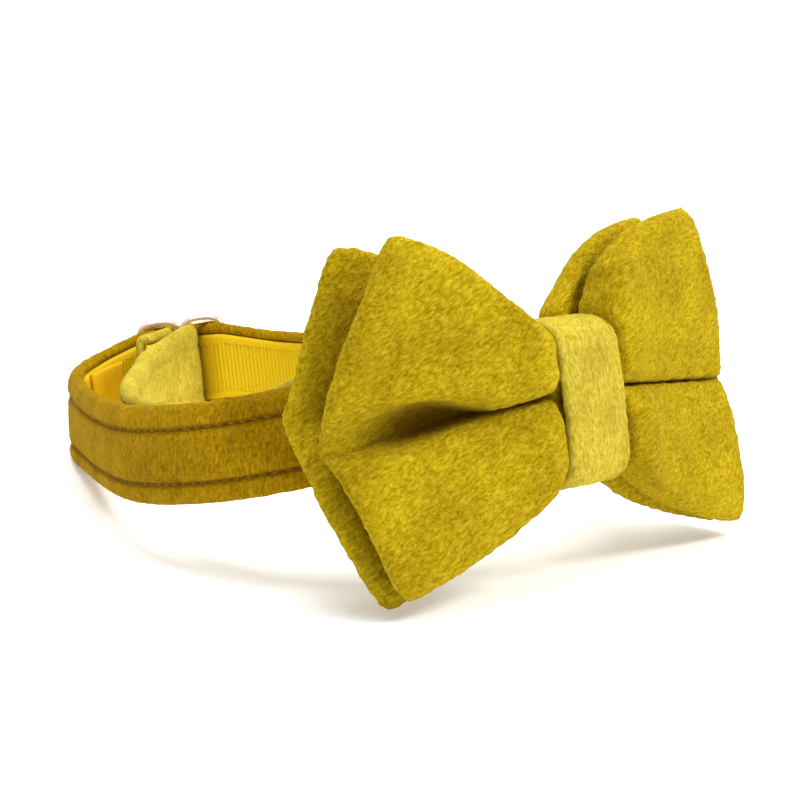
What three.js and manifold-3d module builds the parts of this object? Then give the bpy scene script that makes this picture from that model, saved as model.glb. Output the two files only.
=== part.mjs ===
// A pet's velvet bow tie collar, in millimetres, +Z up, standing on the floor plane z = 0.
// Two padded velvet layers are pinched by a knot band into a bow. The collar strap runs through
// the band behind them, as an open loop that falls towards the back. It is a velvet cover folded
// over a ribbed webbing lining. One end is sewn round the middle bar of a metal slider, returns
// inside the loop to a plain clasp, and comes back as the outer band, which threads the slider.
import * as THREE from 'three';
import { mergeVertices } from 'three/addons/utils/BufferGeometryUtils.js';
import Module from 'manifold-3d';

const wasm = await Module();
wasm.setup();

// Driving dimensions of the bow. Heights are from the middle of the knot, depths from its face.
const cornerHalfSpan = 48.5;        // middle of the bow to a top corner
const middleHalfSpan = 60.5;       // middle of the bow to the outward bulge of a side edge
const bottomHalfSpan = 56.4;        // middle of the bow to a bottom corner
const lobeRise = 36.7;
const lobeDrop = 33.5;
const padThickness = 5.6;          // one padded layer near its tips
const backLayerInset = 0.5;        // the back layer is this much shorter at each side
const backLayerSettle = 0.7;       // its top corners are this much lower
const frontTuck = { left: 1.7, right: 0.8 };   // bottom corners are this much above lobeDrop
const backTuck = { left: 0, right: 1.4 };
const valleyDepth = 10.5;          // how far a lobe's middle fold lies behind its corners
const grooveDepth = 2.8;           // the sharp crease along the bottom of the valley
const bowLean = THREE.MathUtils.degToRad(11);

// Driving dimensions of the knot band.
const knotWidth = 19;
const knotHeight = 33.4;
const knotWall = 1.7;
const knotCorner = 6;
const knotPuff = 0.9;              // the band's padding at the middle of its width
const waistThickness = 7.2;        // one layer where the band squeezes it

// Driving dimensions of the strap.
const strapWidth = 20;
const strapThickness = 3.6;
const squeezedThickness = 2.4;     // where the slider nips the strap
const liningThickness = 1.3;
const coverLip = 2.2;              // velvet turned over each edge onto the inner face
const grooveInset = 5;             // stitch groove, from each edge of the strap
const grooveSpread = 1.1;          // half the groove's width
const stitchGroove = 0.5;
const nipBlend = 13;               // the strap swells to its full thickness over this length
const loopHalfWidth = 55;
const loopDepth = 148;
const strapLift = 3;               // the strap runs this much above the knot's middle
const tailLength = 22;             // the end that is turned back round the slider's bar

// Driving dimensions of the slider and the clasp.
const wireDiameter = 2.4;
const barPitch = 9.8;
const sliderHeight = 26.3;
const sliderDip = 1.4;               // how far the wire dips between its two arches
const sliderTurn = THREE.MathUtils.degToRad(-46);
const returnTurn = THREE.MathUtils.degToRad(207);
const claspBar = 3;
const claspThickness = 3;
const claspSpan = 24.5;            // between the middles of its two bars
const claspRail = 3;
const claspCorner = 2.4;
const claspTurn = THREE.MathUtils.degToRad(159);
const claspReach = 0.545 * loopHalfWidth;   // middle of the knot to the middle of the clasp

// Driving dimensions of the webbing's sewn end.
const tabLength = 12;
const tabThickness = 1.1;
const tabInset = 0.6;              // narrower than the lining, at each edge

const gap = 0.3;                   // clearance between neighbouring pieces
const stationSpacing = 6.5;        // between the strap's cross-sections on open stretches

// Materials, one for each sub-part.
const paint = (color, roughness, metalness = 0) =>
  new THREE.MeshStandardMaterial({ color, roughness, metalness });
const velvet = 0xb89a14;
const webbing = 0xe0be14;
const roseGold = 0xe2b394;

// Reads one column of a table at a place between its rows, along a smooth curve.
function readColumn(rows, along, column, place) {
  const last = rows.length - 1;
  let i = 0;
  while (i < last - 1 && place > rows[i + 1][along]) i += 1;
  const slope = (a, b) => (rows[b][column] - rows[a][column]) / (rows[b][along] - rows[a][along]);
  const here = slope(i, i + 1);
  const width = rows[i + 1][along] - rows[i][along];
  const startSlope = i > 0 ? (slope(i - 1, i) + here) / 2 : here;
  const endSlope = i + 2 <= last ? (here + slope(i + 1, i + 2)) / 2 : here;
  const t = THREE.MathUtils.clamp((place - rows[i][along]) / width, 0, 1);
  const rise = rows[i + 1][column] - rows[i][column];
  return rows[i][column] + rise * t * t * (3 - 2 * t)
    + width * t * (1 - t) * (startSlope * (1 - t) - endSlope * t);
}

// Joins equal rings of points into one closed skin. An open row of rings gets a cap at each end,
// cut from the flat outline that the rings share.
function skinOver(rings, outline, closed = false) {
  const count = rings[0].length;
  const positions = rings.flatMap((ring) => ring.flatMap((point) => point.toArray()));
  const faces = [];
  const bands = closed ? rings.length : rings.length - 1;
  for (let band = 0; band < bands; band += 1) {
    const near = band * count;
    const far = ((band + 1) % rings.length) * count;
    for (let i = 0; i < count; i += 1) {
      const next = (i + 1) % count;
      faces.push(near + i, near + next, far + next, near + i, far + next, far + i);
    }
  }
  if (!closed) {
    const end = (rings.length - 1) * count;
    const clockwise = THREE.ShapeUtils.isClockWise(outline);
    for (const [a, b, c] of THREE.ShapeUtils.triangulateShape(outline, [])) {
      if (clockwise) faces.push(a, b, c, end + a, end + c, end + b);
      else faces.push(a, c, b, end + a, end + b, end + c);
    }
  }
  const geometry = new THREE.BufferGeometry();
  geometry.setAttribute('position', new THREE.Float32BufferAttribute(positions, 3));
  geometry.setIndex(faces);
  geometry.computeVertexNormals();
  return geometry;
}

// THE BOW

// A lobe from the waist (0) to its tip (1). The heights are shares of the way from the waist's
// half height to lobeRise and lobeDrop, with the right lobe's rise in a column of its own because
// that lobe is fuller next to the knot. puff is the padding of the bow's front skin and back of
// every other skin, as shares of padThickness.
const lobeStations = [
  { out: 0.000, rise: 0.000, rightRise: 0.000, drop: 0.000, valley: 0.00, puff: 0.64, back: 0.64, fan: 0.00 },
  { out: 0.205, rise: 0.003, rightRise: 0.003, drop: 0.008, valley: 0.02, puff: 0.64, back: 0.64, fan: 0.00 },
  { out: 0.250, rise: 0.060, rightRise: 0.500, drop: 0.150, valley: 0.14, puff: 0.80, back: 0.58, fan: 0.05 },
  { out: 0.310, rise: 0.158, rightRise: 0.610, drop: 0.295, valley: 0.28, puff: 0.92, back: 0.54, fan: 0.12 },
  { out: 0.390, rise: 0.330, rightRise: 0.715, drop: 0.443, valley: 0.46, puff: 0.92, back: 0.52, fan: 0.22 },
  { out: 0.490, rise: 0.526, rightRise: 0.810, drop: 0.583, valley: 0.66, puff: 0.84, back: 0.50, fan: 0.35 },
  { out: 0.600, rise: 0.698, rightRise: 0.880, drop: 0.696, valley: 0.83, puff: 0.75, back: 0.50, fan: 0.50 },
  { out: 0.720, rise: 0.837, rightRise: 0.925, drop: 0.809, valley: 0.95, puff: 0.66, back: 0.50, fan: 0.67 },
  { out: 0.830, rise: 0.935, rightRise: 0.960, drop: 0.896, valley: 1.00, puff: 0.57, back: 0.48, fan: 0.82 },
  { out: 0.915, rise: 0.984, rightRise: 0.978, drop: 0.957, valley: 1.00, puff: 0.48, back: 0.44, fan: 0.92 },
  { out: 0.965, rise: 1.000, rightRise: 0.987, drop: 0.983, valley: 1.00, puff: 0.37, back: 0.35, fan: 0.97 },
  { out: 0.990, rise: 1.000, rightRise: 0.987, drop: 0.983, valley: 1.00, puff: 0.22, back: 0.22, fan: 0.99 },
  { out: 1.000, rise: 0.992, rightRise: 0.979, drop: 0.974, valley: 1.00, puff: 0.09, back: 0.09, fan: 1.00 },
];

// A side edge from the bottom corner (-1) through the fold (0) to the top corner (1). side is a
// share of the straight line through the three half spans, with the back layer's in the column
// behind. left and right are how far that layer stands behind the front one there, as shares of
// padThickness.
const edgeStations = [
  { up: -1.00, side: 0.955, behind: 0.965, left: 1.00, right: 1.00 },
  { up: -0.93, side: 0.990, behind: 0.998, left: 1.02, right: 1.05 },
  { up: -0.50, side: 1.014, behind: 1.048, left: 1.45, right: 1.55 },
  { up: -0.20, side: 1.012, behind: 1.035, left: 1.70, right: 1.85 },
  { up: 0.00, side: 1.000, behind: 1.000, left: 1.90, right: 1.95 },
  { up: 0.20, side: 1.016, behind: 0.995, left: 2.15, right: 1.98 },
  { up: 0.50, side: 1.026, behind: 1.000, left: 2.50, right: 2.00 },
  { up: 0.93, side: 1.005, behind: 0.990, left: 2.65, right: 2.05 },
  { up: 1.00, side: 0.975, behind: 0.965, left: 2.70, right: 2.05 },
];

// Places of the section's points between the fold and an edge.
const halfSection = [0.05, 0.12, 0.25, 0.45, 0.66, 0.82, 0.92, 0.975, 1];

// The right lobe's fold is pressed shut, so its valley is shallower than the left one's.
const closedValleyShare = 0.5;
const knotFold = 2.3;              // height at which the folds run into the knot
const frontFold = -1.7;            // height of the front layer's fold at its outer end
const backFold = 4.5;
const tipSetback = 1.6;            // the tips stand behind the middle of the waist by this much
const grooveReach = 0.22;          // share of a lobe's height that the sharp crease takes up
const waistHalf = knotHeight / 2 - knotWall - 2.5 * gap;

function edgeReach(up, column) {
  const corner = up > 0 ? cornerHalfSpan : bottomHalfSpan;
  const straight = THREE.MathUtils.lerp(middleHalfSpan, corner, Math.abs(up));
  return straight * readColumn(edgeStations, 'up', column, up);
}

// One point of a padded layer. face is -1 on the front skin and 1 on the back skin.
function layerPoint(layer, signedOut, up, face) {
  const out = Math.abs(signedOut);
  const lobe = (column) => readColumn(lobeStations, 'out', column, out);
  const left = signedOut < 0;
  const fullRise = lobeRise - layer.settle;
  const fullDrop = lobeDrop - (left ? layer.tuck.left : layer.tuck.right);
  const rise = THREE.MathUtils.lerp(waistHalf, fullRise, lobe(left ? 'rise' : 'rightRise'));
  const drop = THREE.MathUtils.lerp(waistHalf, fullDrop, lobe('drop'));
  const fold = THREE.MathUtils.lerp(knotFold, layer.fold, out);
  const z = up > 0 ? fold + up * (rise - fold) : fold + up * (drop + fold);
  const reach = edgeReach(up, layer.behind ? 'behind' : 'side');
  const x = signedOut * (reach - layer.inset * out);

  const openness = left ? 1 : THREE.MathUtils.lerp(1, closedValleyShare, out);
  const broad = valleyDepth * openness * lobe('valley') * (1 - Math.abs(up)) ** 1.5;
  const sharp = Math.max(0, 1 - Math.abs(up) / grooveReach) ** 1.5 * grooveDepth;

  const rim = 1 - padThickness / 2 / (up > 0 ? rise : drop);
  const past = THREE.MathUtils.clamp((Math.abs(up) - rim) / (1 - rim), 0, 1);
  const edgeRound = Math.sqrt(Math.max(0, 1 - past * past));
  const front = !layer.behind && face < 0;
  const padding = padThickness * lobe(front ? 'puff' : 'back') * edgeRound;
  const crease = front ? sharp * lobe('puff') : 0;

  const fanned = readColumn(edgeStations, 'up', left ? 'left' : 'right', up) * padThickness;
  const spacing = THREE.MathUtils.lerp(waistThickness + gap, fanned, lobe('fan'));
  const frontMiddle = knotWall + gap + waistThickness / 2 + tipSetback * lobe('fan');
  const y = frontMiddle + (layer.behind ? spacing : 0) + broad + crease + face * padding;
  return new THREE.Vector3(x, y, z);
}

function paddedLayer(layer) {
  const ups = [...halfSection.map((up) => -up).reverse(), 0, ...halfSection];
  const inner = ups.slice(1, -1).reverse();
  const outs = lobeStations.map((row) => row.out);
  const across = [...outs.slice(1).reverse(), ...outs.map((out) => -out)];
  const ringAt = (out) => [
    ...ups.map((up) => layerPoint(layer, out, up, -1)),
    ...inner.map((up) => layerPoint(layer, out, up, 1)),
  ];
  const rings = across.map(ringAt);
  const outline = rings[0].map((point) => new THREE.Vector2(point.y, point.z));
  return skinOver(rings, outline);
}

const frontLayer = new THREE.Mesh(
  paddedLayer({ behind: false, inset: 0, settle: 0, tuck: frontTuck, fold: frontFold }),
  paint(velvet, 0.95),
);
frontLayer.name = 'bow_front_layer';

const backLayer = new THREE.Mesh(
  paddedLayer({
    behind: true, inset: backLayerInset, settle: backLayerSettle, tuck: backTuck, fold: backFold,
  }),
  paint(velvet, 0.95),
);
backLayer.name = 'bow_back_layer';

// The knot band is a closed loop round both layers and the strap behind them.
const strapDepth = knotWall + 2 * (waistThickness + gap) + 2 * gap + strapThickness / 2;
const knotDepth = strapDepth + strapThickness / 2 + 2 * gap + knotWall;

function knotBand() {
  const corner = knotCorner;
  const loop = new THREE.Shape();
  const half = knotHeight / 2;
  loop.absarc(corner, half - corner, corner, Math.PI, Math.PI / 2, true);
  loop.absarc(knotDepth - corner, half - corner, corner, Math.PI / 2, 0, true);
  loop.absarc(knotDepth - corner, corner - half, corner, 0, -Math.PI / 2, true);
  loop.absarc(corner, corner - half, corner, -Math.PI / 2, -Math.PI, true);
  const sectionPoints = [
    { side: -0.50, wall: 0.75 }, { side: -0.44, wall: 0 }, { side: 0.44, wall: 0 },
    { side: 0.50, wall: 0.75 }, { side: 0.47, wall: 1 }, { side: 0.22, wall: 1, puff: 0.8 },
    { side: 0, wall: 1, puff: 1 }, { side: -0.22, wall: 1, puff: 0.8 }, { side: -0.47, wall: 1 },
  ];
  const outlinePoints = loop.getPoints(4).reverse();
  const centre = new THREE.Vector2(knotDepth / 2, 0);
  const rings = outlinePoints.map((point, i) => {
    const before = outlinePoints.at(i - 1);
    const after = outlinePoints[(i + 1) % outlinePoints.length];
    const along = after.clone().sub(before).normalize();
    const outward = new THREE.Vector2(along.y, -along.x);
    if (outward.dot(point.clone().sub(centre)) < 0) outward.negate();
    // The padding shows on the front alone. The side that meets the wearer is flat.
    const facing = Math.max(0, -outward.x);
    return sectionPoints.map(({ side, wall, puff = 0 }) => {
      const off = (wall - 1) * knotWall + puff * knotPuff * facing;
      const at = point.clone().addScaledVector(outward, off);
      return new THREE.Vector3(side * knotWidth, at.x, at.y);
    });
  });
  return skinOver(rings, [], true);
}

const knot = new THREE.Mesh(knotBand(), paint(0xd8c23c, 0.95));
knot.name = 'knot_band';

const bow = new THREE.Group();
bow.add(frontLayer, backLayer, knot);
bow.rotation.x = -bowLean;

// THE STRAP
// The loop lies in its own plane: x to the side, y back from the knot, z across the strap.

const turned = (angle) => new THREE.Vector3(Math.cos(angle), Math.sin(angle), 0);
const leftOf = (direction) => new THREE.Vector3(-direction.y, direction.x, 0);
const place = (side, back, rise) =>
  new THREE.Vector3(side * loopHalfWidth, back * loopDepth, rise * strapWidth);

const sliderCentre = place(0.805, 0.950, 0.45);
const claspCentre = turned(claspTurn).multiplyScalar(claspReach);
const claspAxis = turned(claspTurn);
const wrapRadius = claspBar * Math.SQRT1_2 + gap + strapThickness / 2;
const clampedBar = (end) => claspCentre.clone().addScaledVector(claspAxis, end * claspSpan / 2);

// Points on an arc about a centre, turning clockwise seen from above.
function arcPoints(centre, radius, fromAngle, sweep, steps) {
  return Array.from({ length: steps + 1 }, (_, i) =>
    turned(fromAngle - sweep * i / steps).multiplyScalar(radius).add(centre));
}

// The outer band threads the slider: inside the end bars and outside the middle one, which
// carries the folded end. Straight runs join arcs about the three bars.
const nipRadius = wireDiameter / 2 + gap + squeezedThickness / 2;
const crestRadius = nipRadius + squeezedThickness + gap;
const crossing = Math.asin((nipRadius + crestRadius) / barPitch);

function throughSlider() {
  const along = turned(sliderTurn);
  const outward = leftOf(along);
  const at = (run, out) =>
    sliderCentre.clone().addScaledVector(along, run).addScaledVector(outward, out);
  const points = [];
  for (const share of [0, 0.5, 1]) {
    const bend = crossing * share;
    points.push(at(nipRadius * Math.sin(bend) - barPitch, -nipRadius * Math.cos(bend)));
  }
  for (const share of [-1, -0.67, -0.33, 0, 0.33, 0.67, 1]) {
    const bend = crossing * share;
    points.push(at(crestRadius * Math.sin(bend), crestRadius * Math.cos(bend)));
  }
  for (const share of [1, 0.5, 0]) {
    const bend = crossing * share;
    points.push(at(barPitch - nipRadius * Math.sin(bend), -nipRadius * Math.cos(bend)));
  }
  return points;
}

// Free stretches of the outer band, as shares of loopHalfWidth, loopDepth and strapWidth.
const leftStations = [
  { side: -0.835, back: 0.108, rise: -0.12 },
  { side: -0.905, back: 0.150, rise: -0.16 },
  { side: -0.958, back: 0.215, rise: -0.19 },
  { side: -0.970, back: 0.290, rise: -0.20 },
  { side: -0.925, back: 0.380, rise: -0.19 },
  { side: -0.815, back: 0.470, rise: -0.16 },
  { side: -0.650, back: 0.565, rise: -0.12 },
  { side: -0.485, back: 0.655, rise: -0.07 },
  { side: -0.316, back: 0.740, rise: -0.02 },
  { side: -0.163, back: 0.815, rise: 0.02 },
  { side: -0.016, back: 0.885, rise: 0.05 },
  { side: 0.130, back: 0.950, rise: 0.11 },
  { side: 0.290, back: 0.998, rise: 0.20 },
  { side: 0.460, back: 1.012, rise: 0.31 },
];
const rightStations = [
  { side: 1.050, back: 0.800, rise: 0.28 },
  { side: 1.075, back: 0.670, rise: 0.18 },
  { side: 1.045, back: 0.520, rise: 0.12 },
  { side: 0.970, back: 0.370, rise: 0.08 },
  { side: 0.860, back: 0.230, rise: 0.05 },
  { side: 0.700, back: 0.125, rise: 0.03 },
  { side: 0.480, back: 0.045, rise: 0.01 },
  { side: 0.200, back: 0.002, rise: 0.00 },
  { side: 0.000, back: 0.000, rise: 0.00 },
  { side: -0.170, back: 0.001, rise: 0.00 },
];
const loopFoot = { side: -0.016, back: 0.885, rise: 0.05 };
const tabSeat = { side: 0.330, back: 1.000, rise: 0.22 };

function outerRoute() {
  const stations = (rows) => rows.map((row) => place(row.side, row.back, row.rise));
  const front = claspTurn + Math.PI / 2;
  const start = clampedBar(1).add(turned(front).multiplyScalar(wrapRadius));
  const turn = arcPoints(clampedBar(-1), wrapRadius, front, Math.PI, 6);
  const tail = turn.at(-1).clone().addScaledVector(claspAxis, -claspBar);
  const firstRun = start.clone().addScaledVector(claspAxis, claspBar / 2);
  return [start, firstRun, ...stations(leftStations), ...throughSlider(),
    ...stations(rightStations), ...turn, tail];
}

// The return band: a turned back tail, the fold round the slider's middle bar, then inside the
// outer band to the clasp, round its bar and up to the outer band's end.
const returnStations = [
  { side: 0.270, back: 0.832, rise: 0.28 },
  { side: 0.020, back: 0.752, rise: 0.17 },
  { side: -0.260, back: 0.662, rise: 0.06 },
  { side: -0.500, back: 0.572, rise: -0.04 },
  { side: -0.665, back: 0.490, rise: -0.12 },
  { side: -0.790, back: 0.385, rise: -0.19 },
  { side: -0.840, back: 0.275, rise: -0.22 },
  { side: -0.820, back: 0.185, rise: -0.17 },
];

function returnRoute() {
  const away = turned(returnTurn);
  const fold = arcPoints(sliderCentre, nipRadius, returnTurn - Math.PI / 2, Math.PI, 6);
  const tail = [tailLength, tailLength * 0.66, tailLength * 0.33].map((run) =>
    fold[0].clone().addScaledVector(away, run));
  const leave = fold.at(-1).clone().addScaledVector(away, tailLength * 0.4);
  const inside = claspTurn - Math.PI / 2;
  const shortOfEnd = 3 * gap / wrapRadius;
  const turn = arcPoints(clampedBar(1), wrapRadius, inside, Math.PI - shortOfEnd, 6);
  const stations = returnStations.map((row) => place(row.side, row.back, row.rise));
  return [...tail, ...fold, leave, ...stations, ...turn];
}

// Cross-sections along a route, all upright in the loop's plane: a place, the direction outward
// and the thickness there.
function stationsAlong(points, squeezeAt) {
  const curve = new THREE.CatmullRomCurve3(points, false, 'centripetal');
  const spans = points.length - 1;
  const across = new THREE.Vector3(0, 0, 1);
  const stations = [];
  for (let span = 0; span < spans; span += 1) {
    const steps = Math.ceil(points[span].distanceTo(points[span + 1]) / stationSpacing);
    for (let i = 0; i < steps || (span === spans - 1 && i === steps); i += 1) {
      const t = (span + i / steps) / spans;
      const at = curve.getPoint(t);
      const along = curve.getTangent(t);
      const outward = across.clone().cross(along).normalize();
      const past = at.distanceTo(squeezeAt) - barPitch - squeezedThickness;
      const swell = THREE.MathUtils.smoothstep(past, 0, nipBlend);
      const thickness = THREE.MathUtils.lerp(squeezedThickness, strapThickness, swell);
      stations.push({ at, outward, thickness });
    }
  }
  return stations;
}

// The velvet cover: its outer face with two stitch grooves, both edges, and the lips that hold
// the lining. depth is a share of the strap's thickness, across is in millimetres.
const halfWidth = strapWidth / 2;
const recessFloor = (liningThickness + gap) / strapThickness - 0.5;
const coverHalf = [
  { depth: 0.50, across: halfWidth - grooveInset - grooveSpread },
  { depth: 0.50 - stitchGroove / strapThickness, across: halfWidth - grooveInset },
  { depth: 0.50, across: halfWidth - grooveInset + grooveSpread },
  { depth: 0.46, across: halfWidth - 0.45 * coverLip },
  { depth: 0.22, across: halfWidth },
  { depth: -0.25, across: halfWidth },
  { depth: -0.50, across: halfWidth - 0.36 * coverLip },
  { depth: -0.50, across: halfWidth - coverLip },
  { depth: recessFloor, across: halfWidth - coverLip },
];
const mirrored = (half) => half.map((point) => ({ ...point, across: -point.across })).reverse();
const coverSection = [...coverHalf, ...mirrored(coverHalf)];
const liningEdge = halfWidth - coverLip - gap;
const liningHalf = [
  { depth: recessFloor - gap / strapThickness, across: liningEdge },
  { depth: -0.50, across: liningEdge },
];
const liningSection = [...liningHalf, ...mirrored(liningHalf)];

function sweep(stations, section) {
  const rings = stations.map(({ at, outward, thickness }) =>
    section.map((point) => at.clone()
      .addScaledVector(outward, point.depth * thickness)
      .add(new THREE.Vector3(0, 0, point.across))));
  return skinOver(rings, section.map((point) => new THREE.Vector2(point.depth, point.across)));
}

const outerStations = stationsAlong(outerRoute(), sliderCentre);
const returnStationsAlong = stationsAlong(returnRoute(), sliderCentre);

function bandMesh(name, stations, section, color) {
  const mesh = new THREE.Mesh(sweep(stations, section), paint(color, 0.9));
  mesh.name = name;
  return mesh;
}

const strapCover = bandMesh('strap_cover', outerStations, coverSection, velvet);
const strapLining = bandMesh('strap_lining', outerStations, liningSection, webbing);
const returnCover = bandMesh('return_cover', returnStationsAlong, coverSection, 0xcdb43a);
const returnLining = bandMesh('return_lining', returnStationsAlong, liningSection, webbing);

// THE SLIDER: bent wire with two arches above and below, and a straight middle bar joined to it.

// A quarter of the frame from an end bar to the dip over the middle bar: run is a share of the
// bar pitch, height a share of the way from the strap's edge to the arch's top.
const archStations = [
  { run: 1.00, height: -0.60 }, { run: 1.00, height: 0.05 }, { run: 0.93, height: 0.55 },
  { run: 0.77, height: 0.88 }, { run: 0.53, height: 1.00 }, { run: 0.28, height: 0.86 },
];

function toManifold(geometry) {
  const bare = geometry.clone();
  bare.deleteAttribute('normal');
  bare.deleteAttribute('uv');
  const merged = mergeVertices(bare, 1e-4);
  return new wasm.Manifold(new wasm.Mesh({
    numProp: 3,
    vertProperties: merged.attributes.position.array,
    triVerts: Uint32Array.from(merged.index.array),
  }));
}

function fromManifold(solid) {
  const mesh = solid.getMesh();
  const geometry = new THREE.BufferGeometry();
  geometry.setAttribute('position', new THREE.BufferAttribute(mesh.vertProperties, 3));
  geometry.setIndex(new THREE.BufferAttribute(mesh.triVerts, 1));
  geometry.computeVertexNormals();
  return geometry;
}

function sliderGeometry() {
  const radius = wireDiameter / 2;
  const top = sliderHeight / 2 - radius;
  const quarter = archStations.map(({ run, height }) =>
    new THREE.Vector3(run * barPitch, 0, halfWidth + height * (top - halfWidth)));
  const half = [...quarter, new THREE.Vector3(0, 0, top - sliderDip),
    ...quarter.map((point) => new THREE.Vector3(-point.x, 0, point.z)).reverse()];
  const wire = [...half, ...half.map((point) => new THREE.Vector3(-point.x, 0, -point.z))];
  const curve = new THREE.CatmullRomCurve3(wire, true, 'centripetal');
  const sides = 8;
  const steps = 48;
  const rings = Array.from({ length: steps }, (_, i) => {
    const at = curve.getPointAt(i / steps);
    const along = curve.getTangentAt(i / steps);
    const depth = new THREE.Vector3(0, 1, 0);
    const outward = depth.clone().cross(along);
    return Array.from({ length: sides }, (_, k) => {
      const angle = 2 * Math.PI * k / sides;
      return at.clone().addScaledVector(depth, -radius * Math.cos(angle))
        .addScaledVector(outward, radius * Math.sin(angle));
    });
  });
  const bar = new THREE.CylinderGeometry(radius * 0.98, radius * 0.98, 2 * (top - sliderDip), sides);
  bar.rotateX(Math.PI / 2);
  return fromManifold(toManifold(skinOver(rings, [], true)).add(toManifold(bar)));
}

const slider = new THREE.Mesh(sliderGeometry(), paint(roseGold, 0.25, 1));
slider.name = 'slider';
slider.position.copy(sliderCentre);
slider.rotation.z = sliderTurn;

// THE CLASP: one plain plate behind the bow with a slot for each end of the strap.

function claspGeometry() {
  const length = claspSpan + claspBar;
  const slotHeight = strapWidth + 4 * gap;
  const height = slotHeight + 2 * claspRail;
  const slotWidth = wrapRadius + strapThickness / 2 + gap - claspBar / 2;
  const plate = new THREE.Shape();
  const side = length / 2 - claspCorner;
  const end = height / 2 - claspCorner;
  plate.absarc(side, -end, claspCorner, -Math.PI / 2, 0, false);
  plate.absarc(side, end, claspCorner, 0, Math.PI / 2, false);
  plate.absarc(-side, end, claspCorner, Math.PI / 2, Math.PI, false);
  plate.absarc(-side, -end, claspCorner, Math.PI, 1.5 * Math.PI, false);
  const blank = new THREE.ExtrudeGeometry(plate, {
    depth: claspThickness, bevelEnabled: false, curveSegments: 3,
  });
  blank.translate(0, 0, -claspThickness / 2);
  const slotAt = (direction) => {
    const slot = new THREE.BoxGeometry(slotWidth, slotHeight, 2 * claspThickness);
    return toManifold(slot.translate(direction * (claspSpan - claspBar - slotWidth) / 2, 0, 0));
  };
  const solid = toManifold(blank).subtract(slotAt(-1)).subtract(slotAt(1));
  return fromManifold(solid).rotateX(Math.PI / 2);
}

const clasp = new THREE.Mesh(claspGeometry(), paint(0x2e2a22, 0.6));
clasp.name = 'clasp';
clasp.position.copy(claspCentre);
clasp.rotation.z = claspTurn;

// THE SEAM TAB: the raw end of the webbing, sewn flat inside the outer band's far turn, with its
// free edge standing a little off the lining.

// along is a share of tabLength from the sewn end, off is how far it stands off the lining.
const tabStations = [
  { along: 0, off: 0 }, { along: 0.35, off: 0.1 }, { along: 0.7, off: 0.7 }, { along: 1, off: 1.8 },
];

function tabGeometry() {
  const halfTab = liningEdge - tabInset;
  const start = place(tabSeat.side, tabSeat.back, tabSeat.rise);
  const nearest = outerStations.reduce((best, station) =>
    (station.at.distanceTo(start) < best.at.distanceTo(start) ? station : best));
  const ahead = outerStations[outerStations.indexOf(nearest) + 2];
  const up = new THREE.Vector3(0, 0, 1);
  const along = ahead.at.clone().sub(nearest.at).normalize();
  const outward = up.clone().cross(along).normalize();
  const rings = tabStations.map((row) => {
    const lift = nearest.thickness / 2 + gap + row.off;
    const face = nearest.at.clone().addScaledVector(along, row.along * tabLength)
      .addScaledVector(outward, -lift);
    const back = face.clone().addScaledVector(outward, -tabThickness);
    return [[face, 1], [back, 1], [back, -1], [face, -1]].map(([at, end]) =>
      at.clone().addScaledVector(up, end * halfTab));
  });
  return skinOver(rings, [[0, 1], [1, 1], [1, 0], [0, 0]].map(([x, y]) => new THREE.Vector2(x, y)));
}

const tab = new THREE.Mesh(tabGeometry(), paint(webbing, 0.85));
tab.name = 'seam_tab';

// THE WHOLE: the strap's loop is set at its seat in the knot band and tilted until its far left
// turn stands on the same floor as the bow's lowest tips.

const loop = new THREE.Group();
loop.add(strapCover, strapLining, returnCover, returnLining, slider, clasp, tab);
bow.updateMatrixWorld(true);
loop.position.copy(bow.localToWorld(new THREE.Vector3(0, strapDepth, strapLift)));
const floorUnderBow = new THREE.Box3().setFromObject(bow, true).min.z - loop.position.z;
const farTurn = place(loopFoot.side, loopFoot.back, loopFoot.rise);
const foot = new THREE.Vector2(farTurn.z - halfWidth, farTurn.y);
loop.rotation.x = -(Math.acos(floorUnderBow / foot.length()) - foot.angle());

const object = new THREE.Group();
object.add(bow, loop);
object.updateMatrixWorld(true);
const extent = new THREE.Box3().setFromObject(object, true);
object.position.set(
  -(extent.min.x + extent.max.x) / 2, -(extent.min.y + extent.max.y) / 2, -extent.min.z);

export default object;
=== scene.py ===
# %% [markdown]
# A pet's velvet bow tie collar
#
# The collar is a small piece of sewing. Two padded velvet layers are pinched in the middle by a
# band, and the same band holds them on a strap. The strap is velvet folded over a ribbed webbing,
# and it runs through a bent wire slider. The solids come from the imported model, which fixes every
# size and place. This notebook dresses them: it pads the bow, sews the strap and gives each
# surface its finish. Lengths in the tables are in millimetres, as a sewer would measure them.

import math

import bmesh
import bpy
import numpy as np
from mathutils import Matrix, Vector, noise


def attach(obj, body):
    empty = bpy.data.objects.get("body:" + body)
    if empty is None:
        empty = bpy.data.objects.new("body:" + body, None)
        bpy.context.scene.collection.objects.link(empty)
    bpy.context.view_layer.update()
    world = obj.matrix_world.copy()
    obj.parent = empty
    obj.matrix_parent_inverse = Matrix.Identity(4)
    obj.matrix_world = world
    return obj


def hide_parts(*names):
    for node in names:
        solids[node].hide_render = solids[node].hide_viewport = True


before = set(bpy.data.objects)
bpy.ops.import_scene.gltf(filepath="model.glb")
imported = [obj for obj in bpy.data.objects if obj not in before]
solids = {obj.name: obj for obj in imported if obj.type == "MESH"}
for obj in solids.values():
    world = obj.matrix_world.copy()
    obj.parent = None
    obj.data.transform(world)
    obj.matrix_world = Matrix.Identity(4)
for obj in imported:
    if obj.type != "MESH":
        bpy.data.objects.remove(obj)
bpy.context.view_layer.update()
MM = 0.001
print("solids:", ", ".join(sorted(solids)))

# %% [markdown]
# Two places that everything hangs on
#
# The bow leans back on its two lower tips, and the strap's loop falls away from the knot until its
# far turn rests on the floor. Each is easiest to work on in its own flat frame: in the bow's, y is
# the depth from the knot's face and z the height over its middle, and in the strap's, z runs
# across the strap. A matrix for each carries the finished work to its real place.

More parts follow.
